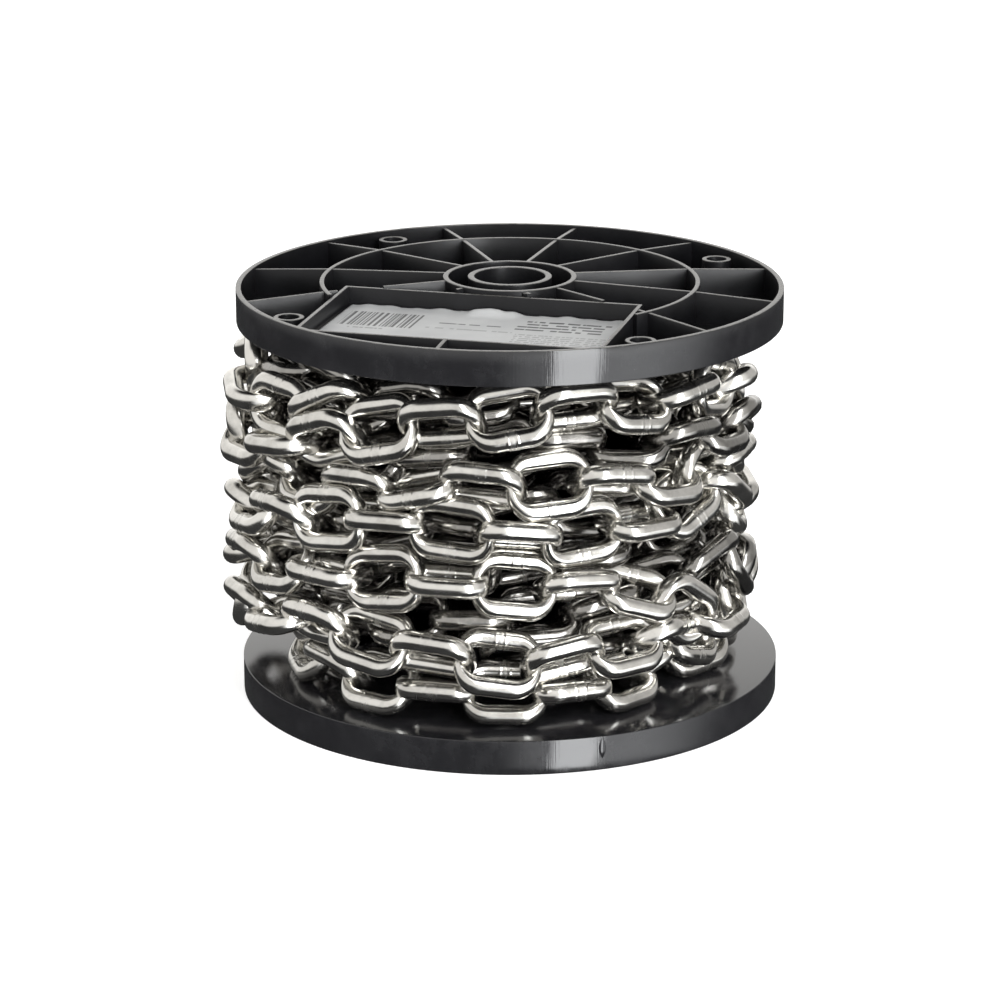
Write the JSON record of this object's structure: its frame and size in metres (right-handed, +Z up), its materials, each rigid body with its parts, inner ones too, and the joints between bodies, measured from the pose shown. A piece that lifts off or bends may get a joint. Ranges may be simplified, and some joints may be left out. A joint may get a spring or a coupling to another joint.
{
  "type": "reel of steel chain",
  "caption": "Black moulded plastic reel with ribbed round flanges, standing on its lower flange and wound full with layers of bright polished welded-link steel chain, with a plain label on top",
  "frame": {"origin": "on the floor, in the middle of the overall box; the reel's axis stands 5.3 mm to its +X side because the chain bulges out on the -X side", "axes": "+Z up along the reel's axis, -Y towards the side the label is on, +X to the right as seen from there"},
  "size_m": [0.2648, 0.2556, 0.1983],
  "materials": {
    "black_moulded_plastic": "black injection-moulded plastic, half gloss, lightly scuffed",
    "polished_chain_steel": "bright polished steel wire, weld marks left on",
    "inner_chain_steel": "the same steel, in shade",
    "label_paper": "matt pale grey label paper"
  },
  "bodies": {
    "root": {"upper_flange": "black_moulded_plastic", "lower_flange": "black_moulded_plastic", "drum": "black_moulded_plastic", "winding_core": "inner_chain_steel", "chain_turn_1": "polished_chain_steel", "chain_turn_2": "polished_chain_steel", "chain_turn_3": "polished_chain_steel", "chain_turn_4": "polished_chain_steel", "chain_turn_5": "polished_chain_steel", "chain_turn_6": "polished_chain_steel", "chain_turn_7": "polished_chain_steel", "label": "label_paper"}
  },
  "joints": []
}
